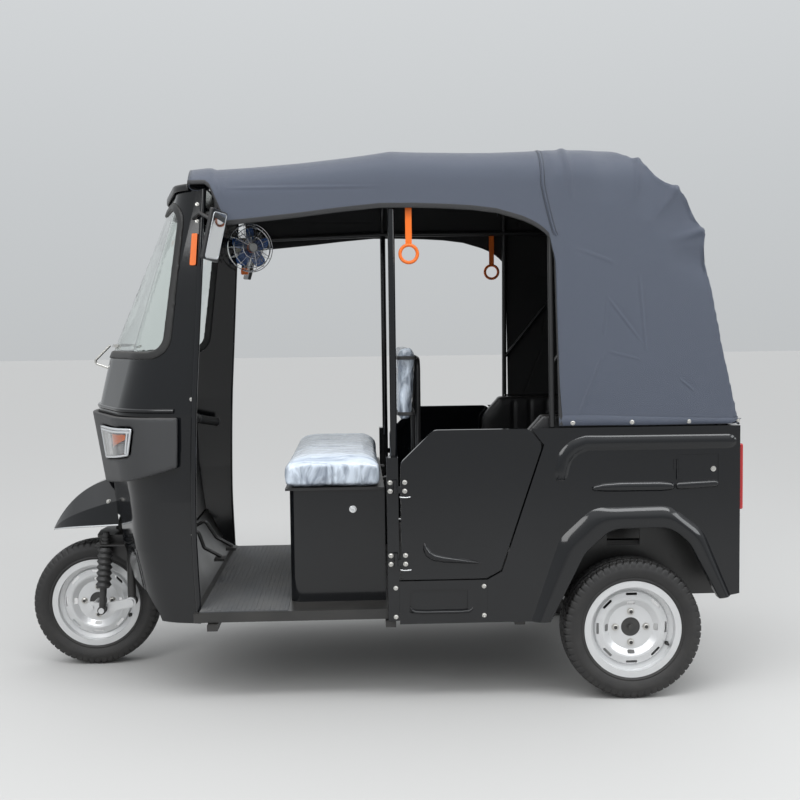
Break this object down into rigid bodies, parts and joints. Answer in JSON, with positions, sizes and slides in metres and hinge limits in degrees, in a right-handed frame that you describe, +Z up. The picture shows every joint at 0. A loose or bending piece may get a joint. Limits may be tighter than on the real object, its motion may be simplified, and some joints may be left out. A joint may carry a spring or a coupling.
{
  "type": "auto rickshaw",
  "caption": "Black three-wheeled passenger vehicle with a cloth hood, open driver's sides, half doors, rear bench and handlebar.",
  "frame": {"origin": "on the ground under the middle of the overall box", "axes": "+X forward, +Y to the vehicle's left, +Z up"},
  "size_m": [2.632, 1.3964, 1.9673],
  "materials": {
    "body_paint": "gloss",
    "dark_trim": "matte",
    "floor_paint": "satin",
    "glass": "clear",
    "black_rubber": "matte",
    "tyre_rubber": "matte",
    "silver_wheel": "satin",
    "frame_paint": "satin",
    "bright_steel": "satin",
    "chrome": "polished",
    "cast_housing": "rough",
    "battery_case": "matte",
    "seat_cover": "satin",
    "wrapped_seat": "satin",
    "hood_cloth": "matte",
    "lamp_lens": "gloss",
    "red_lens": "gloss",
    "orange_plastic": "gloss",
    "blue_plastic": "gloss",
    "mirror_glass": "polished"
  },
  "bodies": {
    "vehicle_body": {"chassis_frame": "frame_paint", "floor_pan": "floor_paint", "rear_tub": "floor_paint", "floor_mat": "black_rubber", "front_cowl": "body_paint", "windscreen_seal": "black_rubber", "windscreen": "glass", "headlamp_band": "dark_trim", "headlamps": "lamp_lens", "sun_visor": "dark_trim", "dash_panel": "dark_trim", "front_fender": "body_paint", "door_posts": "body_paint", "rocker_left": "body_paint", "rocker_right": "body_paint", "side_panel_left": "body_paint", "side_panel_right": "body_paint", "arch_flare_left": "body_paint", "arch_flare_right": "body_paint", "rear_panel": "body_paint", "tail_lamps": "red_lens", "rear_axle": "cast_housing", "rear_springs": "frame_paint", "battery_block": "battery_case", "seat_box": "body_paint", "lid_hinge_lugs": "frame_paint", "driver_backrest": "wrapped_seat", "backrest_frame": "frame_paint", "bench_back": "seat_cover", "bench_cushion": "seat_cover", "canopy": "hood_cloth", "canopy_frame": "frame_paint", "mirrors": "mirror_glass", "wiper": "bright_steel", "side_reflectors": "orange_plastic", "grab_handles": "orange_plastic", "pedals": "bright_steel", "fan_stand": "bright_steel"},
    "steering_assembly": {"steering_fork": "frame_paint", "link_arms": "frame_paint", "front_shocks": "black_rubber", "handlebar": "dark_trim"},
    "front_wheel": {"front_tyre": "tyre_rubber", "front_rim": "silver_wheel", "front_hub": "frame_paint"},
    "rear_left_wheel": {"rear_left_tyre": "tyre_rubber", "rear_left_rim": "silver_wheel", "rear_left_hub": "frame_paint"},
    "rear_right_wheel": {"rear_right_tyre": "tyre_rubber", "rear_right_rim": "silver_wheel", "rear_right_hub": "frame_paint"},
    "left_door": {"door_left": "body_paint"},
    "right_door": {"door_right": "body_paint"},
    "seat_lid_assembly": {"seat_lid": "frame_paint", "driver_cushion": "wrapped_seat"},
    "fan_rotor": {"fan_blades": "blue_plastic"},
    "charge_lid": {"charge_flap": "body_paint"}
  },
  "joints": [
    {"name": "steering_turn", "type": "hinge", "parent": "vehicle_body", "child": "steering_assembly", "pos_m": [0.958, 0, 0.56], "axis": [-0.3746, 0, 0.9272], "range_deg": [-30, 30]},
    {"name": "front_wheel_roll", "type": "hinge", "parent": "steering_assembly", "child": "front_wheel", "pos_m": [1.069, 0, 0.247], "axis": [0, 1, 0], "continuous": true},
    {"name": "rear_left_wheel_roll", "type": "hinge", "parent": "vehicle_body", "child": "rear_left_wheel", "pos_m": [-0.931, 0.566, 0.247], "axis": [0, 1, 0], "continuous": true},
    {"name": "rear_right_wheel_roll", "type": "hinge", "parent": "vehicle_body", "child": "rear_right_wheel", "pos_m": [-0.931, -0.566, 0.247], "axis": [0, 1, 0], "continuous": true},
    {"name": "left_door_swing", "type": "hinge", "parent": "vehicle_body", "child": "left_door", "pos_m": [-0.1, 0.647, 0.517], "axis": [0, 0, -1], "range_deg": [0, 80]},
    {"name": "right_door_swing", "type": "hinge", "parent": "vehicle_body", "child": "right_door", "pos_m": [-0.1, -0.647, 0.517], "axis": [0, 0, 1], "range_deg": [0, 80]},
    {"name": "seat_lid_lift", "type": "hinge", "parent": "vehicle_body", "child": "seat_lid_assembly", "pos_m": [-0.078, 0, 0.741], "axis": [0, -1, 0], "range_deg": [0, 70]},
    {"name": "fan_spin", "type": "hinge", "parent": "vehicle_body", "child": "fan_rotor", "pos_m": [0.48, -0.42, 1.673], "axis": [-0.5, 0.866, 0], "continuous": true},
    {"name": "charge_lid_swing", "type": "hinge", "parent": "vehicle_body", "child": "charge_lid", "pos_m": [-1.079, 0.6436, 0.813], "axis": [0, 0, -1], "range_deg": [0, 90]}
  ]
}
